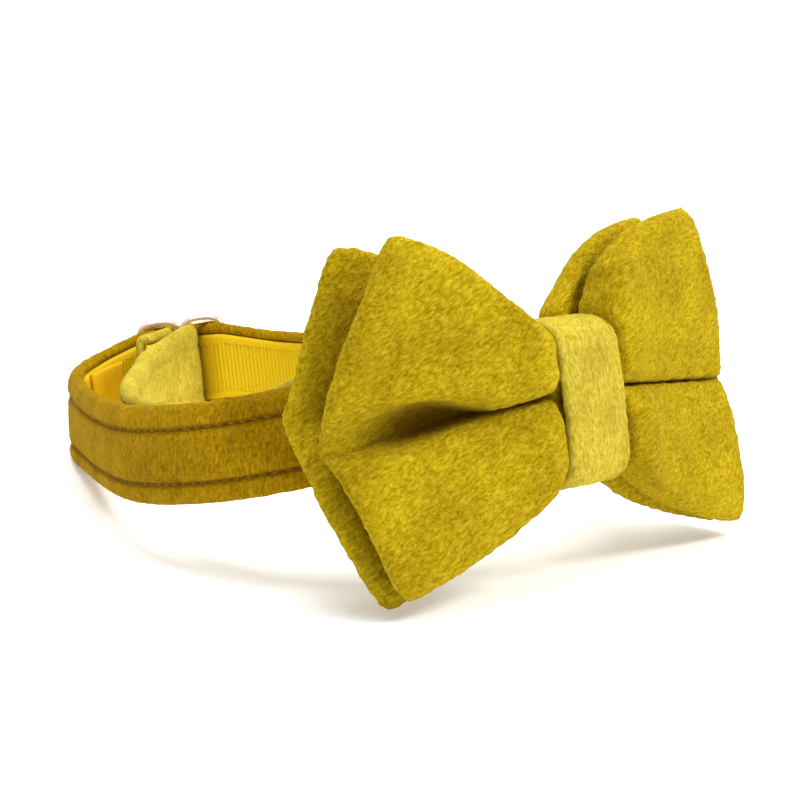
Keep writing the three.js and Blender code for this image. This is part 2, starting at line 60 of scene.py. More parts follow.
# %% Bow frame and strap frame
bow_place = Matrix.Translation(Vector((0, -83.831, 35.811)) * MM) @ Matrix.Rotation(-0.19199, 4, "X")
strap_place = Matrix.Translation(Vector((0, -64.509, 35.112)) * MM) @ Matrix.Rotation(-0.19578, 4, "X")


def carried(points, place):
    """Points in millimetres of a flat frame, as metres in the real frame."""
    matrix = np.array(place)
    return np.asarray(points) * MM @ matrix[:3, :3].T + matrix[:3, 3]


print("bow leans", round(math.degrees(0.19199), 1), "degrees, strap falls", round(math.degrees(0.19578), 1))

# %% [markdown]
# The camera
#
# The view is from the bow's left front and a little above. A long lens keeps the near lobe from
# swelling. The camera is placed from its direction, its distance and its slight roll.

# %% Camera
turn, tilt, roll = 0.86051, 0.17422, 0.02675
forward = Vector((math.cos(tilt) * math.sin(turn), math.cos(tilt) * math.cos(turn), -math.sin(tilt)))
level = Vector((math.cos(turn), -math.sin(turn), 0))
upward = level.cross(forward)
right = math.cos(roll) * level + math.sin(roll) * upward
upward = math.cos(roll) * upward - math.sin(roll) * level
camera = bpy.data.objects.new("camera", bpy.data.cameras.new("camera"))
bpy.context.scene.collection.objects.link(camera)
camera.data.sensor_width = 36
camera.data.lens = 36 * 2722.8 / 800
camera.data.clip_start, camera.data.clip_end = 0.05, 20
spot = Vector((0, -83.831, 35.811)) - (38.569 * right + 0.108 * upward + 533.846 * forward)
aim = Matrix((right, upward, -forward)).transposed().to_4x4()
camera.matrix_world = Matrix.Translation(spot * MM) @ aim
bpy.context.scene.camera = camera
bpy.context.scene.view_settings.view_transform = "Standard"
print("camera at", [round(c, 3) for c in camera.location])

# %% [markdown]
# Floor and light
#
# The collar lies on plain white in a light tent, which is white behind the collar and dimmer
# towards the camera. A broad lamp in front on the right makes the bow the brightest part and
# leaves the outer face of the strap in half shade, and a weaker one hangs above. The floor is
# pale, matt and faintly lit from below, as a light table is, so that shadows stay weak.

# %% Floor and lamps
floor_mesh = bpy.data.meshes.new("floor")
with_floor = bmesh.new()
bmesh.ops.create_grid(with_floor, x_segments=1, y_segments=1, size=6)
with_floor.to_mesh(floor_mesh)
with_floor.free()
floor = bpy.data.objects.new("floor", floor_mesh)
bpy.context.scene.collection.objects.link(floor)
paper = bpy.data.materials.new("pale paper")
paper.use_nodes = True
paper_shader = paper.node_tree.nodes["Principled BSDF"]
paper_shader.inputs["Base Color"].default_value = (0.92, 0.92, 0.92, 1)
paper_shader.inputs["Roughness"].default_value = 1.0
paper_shader.inputs["Emission Color"].default_value = (1, 1, 1, 1)
paper_shader.inputs["Emission Strength"].default_value = 0.16
floor_mesh.materials.append(paper)

sky = bpy.data.worlds.new("light tent")
bpy.context.scene.world = sky
sky.use_nodes = True
behind = sky.node_tree.nodes["Background"]
behind.inputs["Color"].default_value = (1.0, 0.995, 0.985, 1)
looking = sky.node_tree.nodes.new("ShaderNodeTexCoord").outputs["Generated"]
facing_back = sky.node_tree.nodes.new("ShaderNodeVectorMath")
facing_back.operation = "DOT_PRODUCT"
facing_back.inputs[1].default_value = (0.75 * math.sin(turn), 0.75 * math.cos(turn), 0.65)
fade = sky.node_tree.nodes.new("ShaderNodeMapRange")
for socket, value in ((1, -0.5), (2, 0.6), (3, 0.40), (4, 1.06)):
    fade.inputs[socket].default_value = value
sky.node_tree.links.new(looking, facing_back.inputs[0])
sky.node_tree.links.new(facing_back.outputs["Value"], fade.inputs[0])
sky.node_tree.links.new(fade.outputs[0], behind.inputs["Strength"])


def hang_lamp(name, place, aim, size, power, tint=(1, 1, 1)):
    lamp = bpy.data.objects.new(name, bpy.data.lights.new(name, "AREA"))
    lamp.data.shape = "DISK"
    lamp.data.size, lamp.data.energy, lamp.data.color = size, power, tint
    lamp.location = place
    lamp.rotation_euler = (Vector(aim) - Vector(place)).to_track_quat("-Z", "Y").to_euler()
    bpy.context.scene.collection.objects.link(lamp)
    return lamp


hang_lamp("key", (0.35, -0.68, 0.85), (0, -0.05, 0.03), 0.40, 7.0, (1, 0.985, 0.95))
hang_lamp("top", (-0.05, 0.10, 0.9), (0, 0.02, 0.03), 0.5, 5)
print("lamps:", len(bpy.data.lights))

# %% [markdown]
# Building finishes from nodes
#
# Every surface gets a finish made of noise, waves and ramps, so that no picture is needed. A few
# helpers keep the recipes short: one starts a finish and sets its plain values on the shader, one
# adds a node and plugs in what it is given, and the others add a noise, a ramp, a mix or a relief.

# %% Finish helpers
def start_finish(name, **values):
    finish = bpy.data.materials.new(name)
    finish.use_nodes = True
    shader = finish.node_tree.nodes["Principled BSDF"]
    for socket, value in values.items():
        shader.inputs[socket.replace("_", " ")].default_value = value
    return finish, finish.node_tree, shader


def add(tree, kind, inputs=None, **settings):
    node = tree.nodes.new("ShaderNode" + kind)
    for key, value in settings.items():
        setattr(node, key, value)
    for socket, value in (inputs or {}).items():
        if isinstance(value, bpy.types.NodeSocket):
            tree.links.new(value, node.inputs[socket])
        else:
            node.inputs[socket].default_value = value
    return node


def grain_of(tree, place, scale, detail, **more):
    return add(tree, "TexNoise", {"Vector": place, "Scale": scale, "Detail": detail, **more}).outputs["Fac"]


def emboss(tree, shader, height, strength, depth):
    bump = add(tree, "Bump", {"Height": height, "Strength": strength, "Distance": depth})
    tree.links.new(bump.outputs["Normal"], shader.inputs["Normal"])


def ramp(tree, factor, stops):
    node = add(tree, "ValToRGB", {"Fac": factor})
    while len(node.color_ramp.elements) < len(stops):
        node.color_ramp.elements.new(0.5)
    for element, (place, colour) in zip(node.color_ramp.elements, stops):
        element.position = place
        element.color = (*colour, 1)
    return node.outputs["Color"]


def tinted(tree, factor, one, other, blend="MIX"):
    node = add(tree, "Mix", data_type="RGBA", blend_type=blend)
    for socket, value in ((0, factor), (6, one), (7, other)):
        if isinstance(value, bpy.types.NodeSocket):
            tree.links.new(value, node.inputs[socket])
        else:
            node.inputs[socket].default_value = value if socket == 0 else (*value, 1)
    return node.outputs[2]


print("finish helpers: start_finish, add, grain_of, emboss, ramp, tinted")

# %% [markdown]
# Velvet
#
# The cloth is a short plush. Its pile stands in small clumps about a millimetre and a half long,
# combed one way, and the tips of the pile catch more light than the roots. Noise stretched along
# the comb gives the clumps, a finer one the single fibres, and a slow one the places where a hand
# has brushed the nap. Sheen on the shader lights the edges, as pile does. Where a seam presses the
# pile down, and in fold hollows and stitch grooves, the piece carries an attribute and the finish
# goes dark there: partly pressed pile, partly painted shade. The strap's copy of the velvet is
# darker, painted shade, and the paler copy on the knot band and the inner band is painted light.

# %% Velvet finish
stroke_length, stroke_width = 0.0016, 0.0006


def velvet_finish(name, root, middle, tip, pressed_tint, comb=(0, -0.4, 0)):
    finish, tree, shader = start_finish(
        name, Roughness=1.0, Specular_IOR_Level=0.03,
        Sheen_Weight=0.10, Sheen_Roughness=0.45, Sheen_Tint=(1.0, 0.80, 0.10, 1))
    place = add(tree, "TexCoord").outputs["Object"]
    drift = add(tree, "TexNoise", {"Vector": place, "Scale": 190.0, "Detail": 2.0}).outputs["Color"]
    centred = add(tree, "VectorMath", {0: drift, 1: (0.5, 0.5, 0.5)}, operation="SUBTRACT").outputs[0]
    small = add(tree, "VectorMath", {0: centred, 3: 0.0018}, operation="SCALE").outputs[0]
    bent = add(tree, "VectorMath", {0: place, 1: small}, operation="ADD").outputs[0]
    along = add(tree, "Mapping", {"Vector": bent, "Rotation": comb,
                                    "Scale": (stroke_length, stroke_width, stroke_width)},
                vector_type="TEXTURE").outputs[0]
    clumps = grain_of(tree, along, 1.0, 3.0, Roughness=0.62)
    fibres = grain_of(tree, along, 3.3, 2.0, Roughness=0.7)
    pile = add(tree, "Mix", {0: 0.32, 2: clumps, 3: fibres}).outputs[0]
    colour = ramp(tree, pile, [(0.36, root), (0.5, middle), (0.64, tip)])
    brushed = grain_of(tree, bent, 75.0, 3.0, Roughness=0.6)
    shade = ramp(tree, brushed, [(0.32, (0.80, 0.77, 0.70)), (0.68, (1.10, 1.11, 1.15))])
    colour = tinted(tree, 1.0, colour, shade, "MULTIPLY")
    # The attribute darkens pressed pile and paints shade into fold hollows, crease bottoms and stitch
    # grooves.
    pressed = add(tree, "Attribute", attribute_name="pressed").outputs["Fac"]
    colour = tinted(tree, pressed, colour, pressed_tint)
    tree.links.new(colour, shader.inputs["Base Color"])
    emboss(tree, shader, pile, 0.75, 0.0009)
    return finish


velvet = velvet_finish("mustard velvet", (0.27, 0.165, 0.001), (0.43, 0.30, 0.004), (0.57, 0.44, 0.020),
                       (0.10, 0.035, 0.002))
# A darker, more orange copy of the same velvet for the strap: painted shade.
strap_velvet_shaded = velvet_finish("strap velvet in painted shade", (0.22, 0.11, 0.001), (0.35, 0.195, 0.001), (0.47, 0.30, 0.008),
                             (0.09, 0.028, 0.001), comb=(0, 1.2, 0.4))
# A paler copy of the same velvet for the knot band and the inner band: painted light.
light_velvet = velvet_finish("velvet in painted light", (0.40, 0.29, 0.012), (0.55, 0.43, 0.035), (0.67, 0.56, 0.10),
                             (0.36, 0.22, 0.012), comb=(0, 1.35, 0.2))
print("velvets: 3")

# %% [markdown]
# Webbing
#
# The strap is lined with a golden ribbon of fine upright ribs. The ribs follow the strap round
# every bend, so they are waves on the piece's own UV map, which is laid out in metres: u runs
# along the strap and v across it. The ribbon's two selvedges are woven smooth.

# %% Webbing finish
rib_pitch, selvedge_width = 0.00095, 0.0017


def webbing_finish(name, valley, ridge, selvedge, ribbon_width):
    finish, tree, shader = start_finish(
        name, Roughness=0.7, Specular_IOR_Level=0.12, Sheen_Weight=0.08, Sheen_Tint=(1.0, 0.8, 0.2, 1))
    spread = add(tree, "UVMap").outputs["UV"]
    across = add(tree, "SeparateXYZ", {"Vector": spread}).outputs["Y"]
    ribs = add(tree, "TexWave", {"Vector": spread, "Scale": 2 * math.pi / (20 * rib_pitch),
                                 "Distortion": 0.35, "Detail": 1.0, "Detail Scale": 2.0}).outputs["Fac"]
    threads = grain_of(tree, spread, 2200.0, 2.0)
    far_edge = ribbon_width - selvedge_width
    low = add(tree, "Math", {0: across, 1: selvedge_width}, operation="GREATER_THAN").outputs[0]
    high = add(tree, "Math", {0: across, 1: far_edge}, operation="LESS_THAN").outputs[0]
    inside = add(tree, "Math", {0: low, 1: high}, operation="MULTIPLY").outputs[0]
    body = tinted(tree, ribs, valley, ridge)
    colour = tinted(tree, inside, selvedge, body)
    worn = ramp(tree, threads, [(0.3, (0.9, 0.9, 0.88)), (0.7, (1.06, 1.06, 1.05))])
    colour = tinted(tree, 1.0, colour, worn, "MULTIPLY")
    # Where the attribute is set the webbing goes dark: painted shade.
    pressed = add(tree, "Attribute", attribute_name="pressed").outputs["Fac"]
    colour = tinted(tree, pressed, colour, (0.50, 0.26, 0.01))
    tree.links.new(colour, shader.inputs["Base Color"])
    relief = add(tree, "Math", {0: ribs, 1: inside}, operation="MULTIPLY").outputs[0]
    relief = add(tree, "Mix", {0: 0.2, 2: relief, 3: threads}).outputs[0]
    emboss(tree, shader, relief, 0.4, 0.0003)
    return finish


webbing = webbing_finish("golden webbing", (0.64, 0.42, 0.003), (0.77, 0.54, 0.007),
                         (0.76, 0.51, 0.004), 0.015)
# The tab's copy of the webbing has its colour raised against the shade it lies in: painted light.
tab_webbing_lit = webbing_finish("turned webbing in painted light", (0.72, 0.41, 0.002), (0.75, 0.45, 0.003),
                             (0.74, 0.43, 0.002), 0.014)
print("webbings: 2")

# %% [markdown]
# Metal, thread and plastic
#
# The slider is steel wire plated rose gold, bright with fine draw marks along it. The velvet is
# sewn with a twisted thread that is browner than the cloth, and the webbing with a golden one. The
# clasp behind the bow is moulded plastic with the faint grain of its mould.

# %% Rose gold
rose_gold, tree, shader = start_finish("rose gold plate", Metallic=1.0, Roughness=0.16)
place = add(tree, "TexCoord").outputs["Object"]
clouds = grain_of(tree, place, 260.0, 3.0)
plate = ramp(tree, clouds, [(0.3, (0.86, 0.60, 0.42)), (0.7, (0.95, 0.74, 0.58))])
tree.links.new(plate, shader.inputs["Base Color"])
marks = grain_of(tree, place, 1500.0, 2.0)
tree.links.new(ramp(tree, marks, [(0.3, (0.12,) * 3), (0.75, (0.27,) * 3)]), shader.inputs["Roughness"])
emboss(tree, shader, marks, 0.08, 0.0001)
print("metal:", rose_gold.name)


# %% Threads
def thread_finish(name, dark, light):
    finish, tree, shader = start_finish(name, Roughness=0.7, Specular_IOR_Level=0.2)
    place = add(tree, "TexCoord").outputs["Object"]
    twist = grain_of(tree, place, 3200.0, 1.0)
    tree.links.new(ramp(tree, twist, [(0.3, dark), (0.7, light)]), shader.inputs["Base Color"])
    emboss(tree, shader, twist, 0.5, 0.0001)
    return finish


brown_thread = thread_finish("brown thread", (0.20, 0.09, 0.002), (0.38, 0.20, 0.006))
golden_thread = thread_finish("golden thread", (0.62, 0.36, 0.003), (0.80, 0.52, 0.006))
print("threads:", brown_thread.name, "and", golden_thread.name)

# %% Clasp plastic
clasp_plastic, tree, shader = start_finish("clasp plastic", Specular_IOR_Level=0.4)
place = add(tree, "TexCoord").outputs["Object"]
grain = grain_of(tree, place, 1800.0, 3.0)
handled = grain_of(tree, place, 90.0, 2.0)
tree.links.new(ramp(tree, handled, [(0.3, (0.022, 0.018, 0.013)), (0.7, (0.045, 0.038, 0.028))]),
               shader.inputs["Base Color"])
tree.links.new(ramp(tree, grain, [(0.3, (0.38,) * 3), (0.7, (0.55,) * 3)]), shader.inputs["Roughness"])
emboss(tree, shader, grain, 0.25, 0.00015)
print("finishes:", len(bpy.data.materials))

# %% [markdown]
# From a mesh to a piece of the collar
#
# A finished piece is a mesh in the real frame, on an object that sits at the origin. It gets its
# finish, the solids that it stands for, and the body that it rides on.

# %% Piece helpers
def as_object(name, mesh):
    piece = bpy.data.objects.new(name, mesh)
    bpy.context.scene.collection.objects.link(piece)
    return piece


def dress(piece, finish, slot, *stands_for):
    piece.data.materials.clear()
    piece.data.materials.append(finish)
    for face in piece.data.polygons:
        face.use_smooth = True
    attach(piece, "root")
    if stands_for:
        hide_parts(*stands_for)
    print(piece.name, len(piece.data.polygons), "faces")
    return piece


def places_of(mesh):
    flat = np.empty(len(mesh.vertices) * 3)
    mesh.vertices.foreach_get("co", flat)
    return flat.reshape(-1, 3)


def directions_of(mesh):
    flat = np.empty(len(mesh.vertices) * 3)
    mesh.vertices.foreach_get("normal", flat)
    return flat.reshape(-1, 3)


def move_to(mesh, places):
    mesh.vertices.foreach_set("co", np.asarray(places).ravel())
    mesh.update()


def bake_modifiers(piece):
    baked = bpy.data.meshes.new_from_object(piece.evaluated_get(bpy.context.evaluated_depsgraph_get()))
    piece.modifiers.clear()
    piece.data = baked


def mark_pressed(mesh, amounts):
    layer = mesh.attributes.get("pressed") or mesh.attributes.new("pressed", "FLOAT", "POINT")
    layer.data.foreach_set("value", np.asarray(amounts, np.float32))


def raise_pile(mesh, height, clump, comb=(1.0, 1.0, 1.0)):
    """Lifts the surface into small uneven clumps, as combed pile stands."""
    places, directions = places_of(mesh), directions_of(mesh)
    stretch = np.array(comb) / (clump * MM)
    spots = map(Vector, places * stretch)
    lift = np.array([noise.noise(at) + 0.55 * noise.noise(at * 2.4) for at in spots])
    move_to(mesh, places + directions * (lift * height * MM)[:, None])


def smooth_step(low, high, value):
    t = np.clip((value - low) / (high - low), 0, 1)
    return t * t * (3 - 2 * t)


# %% [markdown]
# Padding the bow
#
# Each layer of the bow is a pillow of velvet over wadding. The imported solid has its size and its
# folds, but hard facets. It is cut into an even net and shrunk a little, and then a cloth
# simulation blows it up from inside, as the wadding does. A cap on the movement keeps the pillow
# inside its place, and nothing moves where the band squeezes it.

# %% A copy to sew on
def merged_copy(node, name):
    """The solids are loose triangles, so a copy is merged first."""
    sewn = bmesh.new()
    sewn.from_mesh(solids[node].data)
    bmesh.ops.remove_doubles(sewn, verts=sewn.verts, dist=1e-6)
    mesh = bpy.data.meshes.new(name)
    sewn.to_mesh(mesh)
    sewn.free()
    return as_object(name, mesh)


print("copies are merged within a thousandth of a millimetre")


# %% Cloth padding
def pad(piece, net=1.25, shrink=0.35, cap=1.0, moments=20):
    """net, shrink and cap are lengths in millimetres; moments is how long the wadding pushes."""
    even = piece.modifiers.new("even net", "REMESH")
    even.mode, even.voxel_size = "VOXEL", net * MM
    bake_modifiers(piece)
    mesh = piece.data
    rest = places_of(mesh)
    move_to(mesh, rest - directions_of(mesh) * shrink * MM)
    cloth = piece.modifiers.new("wadding", "CLOTH")
    cloth.settings.quality = 5
    cloth.settings.mass = 0.05
    cloth.settings.use_pressure = True
    cloth.settings.uniform_pressure_force = 4
    cloth.settings.effector_weights.gravity = 0
    cloth.settings.tension_stiffness = cloth.settings.compression_stiffness = 25
    cloth.point_cache.frame_start, cloth.point_cache.frame_end = 1, moments
    for moment in range(1, moments + 1):
        bpy.context.scene.frame_set(moment)
    bake_modifiers(piece)
    bpy.context.scene.frame_set(1)
    moved = places_of(piece.data) - rest
    reach = np.linalg.norm(moved, axis=1)
    free = smooth_step(10 * MM, 18 * MM, np.abs(rest[:, 0]))
    allowed = np.minimum(reach, cap * MM) * free
    print(piece.name, "swells by mm, mean and most:", np.round((reach.mean() / MM, reach.max() / MM), 2))
    move_to(piece.data, rest + moved / np.maximum(reach, 1e-9)[:, None] * allowed[:, None])
    return piece


def finer(piece, levels=1):
    more = piece.modifiers.new("finer net", "SUBSURF")
    more.levels = more.render_levels = levels
    bake_modifiers(piece)
    return piece


# %% Pad both layers
front_layer = finer(pad(merged_copy("bow_front_layer", "front_pillow")))
back_layer = finer(pad(merged_copy("bow_back_layer", "back_pillow")))
print("pillow nets:", len(front_layer.data.vertices), len(back_layer.data.vertices))

# %% [markdown]
# The folds
#
# Where the band pinches it, a pillow folds along its middle. In the left lobe the fold starts as a
# closed slit at the band. Then the upper half lifts off like a lip, and a hollow opens below it
# that widens towards the side edge. In the right lobe the fold is pressed shut to a thin line. A
# table says for every place along the fold how high its bottom lies, how deep it is, how far above
# and below the bottom its two lips stand, and how much each lip swells forward.

# %% Fold tables
left_folds = np.array([
    # out, height, depth, above, below, upper swell, lower swell
    (9.0, 2.1, 3.0, 1.5, 1.2, 0.6, 0.5),
    (14.0, 2.0, 4.0, 1.1, 1.0, 1.3, 0.9),
    (20.0, 1.7, 4.4, 0.8, 0.8, 1.8, 1.2),
    (25.0, 1.0, 4.6, 1.2, 0.8, 2.2, 1.4),
    (30.0, 0.2, 4.8, 3.6, 1.0, 2.6, 1.5),
    (35.0, -0.5, 4.8, 6.0, 1.4, 2.7, 1.4),
    (40.0, -1.0, 4.4, 7.2, 2.0, 2.3, 1.2),
    (45.0, -1.6, 3.6, 7.6, 2.2, 1.6, 0.9),
    (50.0, -2.3, 2.4, 7.8, 1.6, 0.8, 0.5),
    (56.0, -2.6, 1.2, 8.5, 1.0, 0.1, 0.2),
    (61.0, -2.3, 0.5, 8.5, 0.8, 0.0, 0.0),
])
right_folds = np.array([
    (9.0, 2.1, 2.4, 1.0, 1.0, 0.5, 0.4),
    (16.0, 1.7, 2.8, 0.7, 0.7, 1.0, 0.8),
    (30.0, 0.8, 2.8, 0.6, 0.6, 1.2, 1.0),
    (45.0, -0.3, 2.4, 0.6, 0.6, 1.0, 0.8),
    (56.0, -1.2, 1.8, 0.7, 0.7, 0.5, 0.4),
    (61.0, -1.5, 0.8, 0.8, 0.8, 0.0, 0.0),
])


# %% Pressing a pillow along its folds
def in_bow_frame(piece):
    matrix = np.array(bow_place.inverted())
    local = (places_of(piece.data) @ matrix[:3, :3].T + matrix[:3, 3]) / MM
    return local, directions_of(piece.data) @ matrix[:3, :3].T


def press_folds(piece, left_table, right_table):
    """Pushes the front in along both folds, lifts the lips beside them and paints shade into the crease
    bottoms and the deep hollows.
    """
    local, facing = in_bow_frame(piece)
    front = np.clip(-facing[:, 1] * 1.6 + 0.15, 0, 1)
    pressed = np.zeros(len(local))
    for side, table in ((-1, left_table), (1, right_table)):
        out = side * local[:, 0]
        here = (out > 0) * smooth_step(8.5, 11, out) * front
        height, depth, above, below, swell, low_swell = (
            np.interp(out, table[:, 0], column) for column in table[:, 1:].T)
        rise = local[:, 2] - height
        up, down = np.clip(rise / above, 0, 1.3), np.clip(-rise / below, 0, 1.3)
        hollow = np.where(rise > 0, 1 - smooth_step(0.5, 1.1, up), 1 - smooth_step(0.2, 1.1, down))
        lip = np.exp(-(((rise - above - 1.6) / 2.0) ** 2))
        low_lip = np.exp(-(((-rise - below - 1.6) / 2.0) ** 2))
        edge = np.exp(-(((rise - above - 0.4) / 1.2) ** 2))
        local[:, 1] += here * (depth * hollow - swell * lip - low_swell * low_lip)
        local[:, 2] -= here * (0.6 * swell * edge - 0.3 * low_swell * low_lip)
        # The crease bottoms and the deep hollows get darker colour: painted shade.
        bottom = np.exp(-((rise / 0.5) ** 2)) * np.clip(depth / 2.5, 0, 1)
        deep = hollow * smooth_step(2.6, 5.2, depth)
        pressed += here * np.maximum(0.7 * bottom, 0.9 * deep)
    move_to(piece.data, carried(local, bow_place))
    mark_pressed(piece.data, np.clip(pressed, 0, 0.95))


press_folds(front_layer, left_folds, right_folds)
mark_pressed(back_layer.data, np.zeros(len(back_layer.data.vertices)))
print("folds pressed")

# %% [markdown]
# Round the band
#
# The wadding that the band squeezes out swells beside it, so the pillows hug the band with no gap.
# Over the band's top the right lobe leans in towards the middle, and the front pillow's left side
# bulges out where its fold ends.

# %% Swelling beside the band
def swell_beside_band(piece, forward, lean, outward):
    """Swells forward beside the band, leans the right lobe inwards and bulges the left side, in mm."""
    local, facing = in_bow_frame(piece)
    away, height = np.abs(local[:, 0]), local[:, 2]
    front = np.clip(-facing[:, 1] * 1.6 + 0.15, 0, 1)
    ring = smooth_step(9.7, 11.5, away) * (1 - smooth_step(14, 24, away))
    clear_of_fold = smooth_step(1.5, 6, np.abs(height - 2))
    local[:, 1] -= forward * ring * front * (0.35 + 0.65 * clear_of_fold)
    over = smooth_step(12.5, 16.5, height) * (1 - smooth_step(17, 25, height))
    inward = over * np.exp(-(((local[:, 0] - 11) / 7) ** 2)) * smooth_step(5, 10, local[:, 0])
    local[:, 0] -= lean * inward
    side_bulge = smooth_step(40, 57, -local[:, 0]) * np.exp(-(((height - 12) / 17) ** 2))
    local[:, 0] -= outward * side_bulge
    move_to(piece.data, carried(local, bow_place))


swell_beside_band(front_layer, 2.4, 3.0, 4.4)
swell_beside_band(back_layer, 0.0, 6.0, 0.5)
print("pillows hug the band")

# %% [markdown]
# The pillows' pile
#
# Pile makes the outline of a plush soft and uneven. The net is fine enough to carry clumps about a
# millimetre across, so the surface itself is lifted a little before the finish goes on.

# %% Dress the pillows
for piece, node in ((front_layer, "bow_front_layer"), (back_layer, "bow_back_layer")):
    raise_pile(piece.data, 0.22, 1.3, (0.6, 1.0, 1.0))
    dress(piece, velvet, "velvet", node)

# %% [markdown]
# Lines and skins
#
# Bands, straps and wire are all a cross-section carried along a line. A smooth line is drawn
# through a few given points and divided evenly. A skin is then a flat grid of cloth: its rows
# are moved onto the section at each place of the line, its two long edges are sewn together, and
# its open ends are closed. Its UV map keeps real metres along and across.

# %% Smooth lines
def smooth_line(points, spacing, closed=False):
    points = np.asarray(points, float)
    if closed:
        padded = np.vstack([points[-1], points, points[0], points[1]])
    else:
        padded = np.vstack([2 * points[0] - points[1], points, 2 * points[-1] - points[-2]])
    dense = []
    for a, b, c, d in zip(padded, padded[1:], padded[2:], padded[3:]):
        before, here, after = (max(np.linalg.norm(q - p) ** 0.5, 1e-4) for p, q in ((a, b), (b, c), (c, d)))
        leave = ((b - a) / before - (c - a) / (before + here) + (c - b) / here) * here
        reach = ((c - b) / here - (d - b) / (here + after) + (d - c) / after) * here
        for t in np.arange(0, 1, 1 / 16):
            dense.append((2 * t**3 - 3 * t**2 + 1) * b + (t**3 - 2 * t**2 + t) * leave
                         + (3 * t**2 - 2 * t**3) * c + (t**3 - t**2) * reach)
    dense = np.array([*dense, points[0] if closed else points[-1]])
    run = np.concatenate([[0], np.cumsum(np.linalg.norm(np.diff(dense, axis=0), axis=1))])
    even = np.linspace(0, run[-1], max(4, round(run[-1] / spacing)) + 1)
    return np.stack([np.interp(even, run, column) for column in dense.T], axis=1)


def lengths_along(line):
    return np.concatenate([[0], np.cumsum(np.linalg.norm(np.diff(line, axis=0), axis=1))])


# %% Skins from a grid of cloth
def skin(name, rows, around, closed_along=False):
    """rows holds a ring of places, in metres, for each place along, and around its lengths in mm."""
    count, ring = rows.shape[0], rows.shape[1]
    along = lengths_along(rows.mean(axis=1)) / MM
    cloth = bmesh.new()
    spread = cloth.loops.layers.uv.new("UVMap")
    bmesh.ops.create_grid(cloth, x_segments=ring - 1, y_segments=count - 1, size=0.5)
    cell = {vertex: (round((vertex.co.y + 0.5) * (count - 1)), round((vertex.co.x + 0.5) * (ring - 1)))
            for vertex in cloth.verts}
    for face in cloth.faces:
        for loop in face.loops:
            i, j = cell[loop.vert]
            loop[spread].uv = (along[i] * MM, around[j] * MM)
    for vertex, (i, j) in cell.items():
        vertex.co = rows[i, j]
    bmesh.ops.remove_doubles(cloth, verts=cloth.verts, dist=1e-6)
    rims = [edge for edge in cloth.edges if edge.is_boundary]
    if rims and not closed_along:
        bmesh.ops.edgeloop_fill(cloth, edges=rims)
    bmesh.ops.recalc_face_normals(cloth, faces=cloth.faces)
    mesh = bpy.data.meshes.new(name)
    cloth.to_mesh(mesh)
    cloth.free()
    return as_object(name, mesh)


# %% [markdown]
# The way of the strap
#
# The strap's route is drawn from above. It starts at the clasp behind the left lobe, swings round
# the left side and the far left turn, threads the slider at the back, and comes home on the right
# through the knot to the clasp. The second, inner band starts as a turned end at the slider's
# middle bar and runs inside the first one to the clasp. Side and back are shares of the loop's
# half width and depth, and rise is a share of the strap's width.

# %% Route tables
loop_half_width, loop_depth, strap_width = 55.0, 148.0, 20.0
left_stretch = [
    (-0.835, 0.108, -0.12), (-0.905, 0.150, -0.16), (-0.958, 0.215, -0.19), (-0.970, 0.290, -0.20),
    (-0.925, 0.380, -0.19), (-0.815, 0.470, -0.16), (-0.650, 0.565, -0.12), (-0.485, 0.655, -0.07),
    (-0.316, 0.740, -0.02), (-0.163, 0.815, 0.02), (-0.016, 0.885, 0.05), (0.130, 0.950, 0.11),
    (0.290, 0.998, 0.20), (0.460, 1.012, 0.31),
]
right_stretch = [
    (1.050, 0.800, 0.28), (1.075, 0.670, 0.18), (1.045, 0.520, 0.12), (0.970, 0.370, 0.08),
    (0.860, 0.230, 0.05), (0.700, 0.125, 0.03), (0.480, 0.045, 0.01), (0.200, 0.002, 0.00),
    (0.000, 0.000, 0.00), (-0.170, 0.001, 0.00),
]
inner_stretch = [
    (0.270, 0.832, 0.28), (0.020, 0.752, 0.17), (-0.260, 0.662, 0.06), (-0.500, 0.572, -0.04),
    (-0.665, 0.490, -0.12), (-0.790, 0.385, -0.19), (-0.840, 0.275, -0.22), (-0.820, 0.185, -0.17),
]
slider_middle = np.array([0.805 * loop_half_width, 0.950 * loop_depth, 0.45 * strap_width])
slider_turn, return_turn, clasp_turn = math.radians(-46), math.radians(207), math.radians(159)
bar_pitch, wire, squeezed, full = 9.8, 2.4, 2.4, 3.6
clasp_reach, clasp_span, clasp_bar, clear = 29.975, 24.5, 3.0, 0.3


def heading(angle):
    return np.array([math.cos(angle), math.sin(angle), 0.0])


def mapped(table):
    return [np.array(shares) * (loop_half_width, loop_depth, strap_width) for shares in table]


# %% Routes of both bands
nip = wire / 2 + clear + squeezed / 2
crest = nip + squeezed + clear
crossing = math.asin((nip + crest) / bar_pitch)
wrap = clasp_bar * math.sqrt(0.5) + clear + full / 2
clasp_middle = heading(clasp_turn) * clasp_reach


def bar_at(end):
    return clasp_middle + heading(clasp_turn) * end * clasp_span / 2


def arc(centre, radius, start, sweep, steps):
    return [centre + heading(start - sweep * i / steps) * radius for i in range(steps + 1)]


def threaded():
    along = heading(slider_turn)
    outward = np.array([-along[1], along[0], 0.0])
    spots = [(nip * math.sin(crossing * s) - bar_pitch, -nip * math.cos(crossing * s)) for s in (0, 0.5, 1)]
    spots += [(crest * math.sin(crossing * s), crest * math.cos(crossing * s))
              for s in (-1, -0.67, -0.33, 0, 0.33, 0.67, 1)]
    spots += [(bar_pitch - nip * math.sin(crossing * s), -nip * math.cos(crossing * s))
              for s in (1, 0.5, 0)]
    return [slider_middle + along * run + outward * out for run, out in spots]


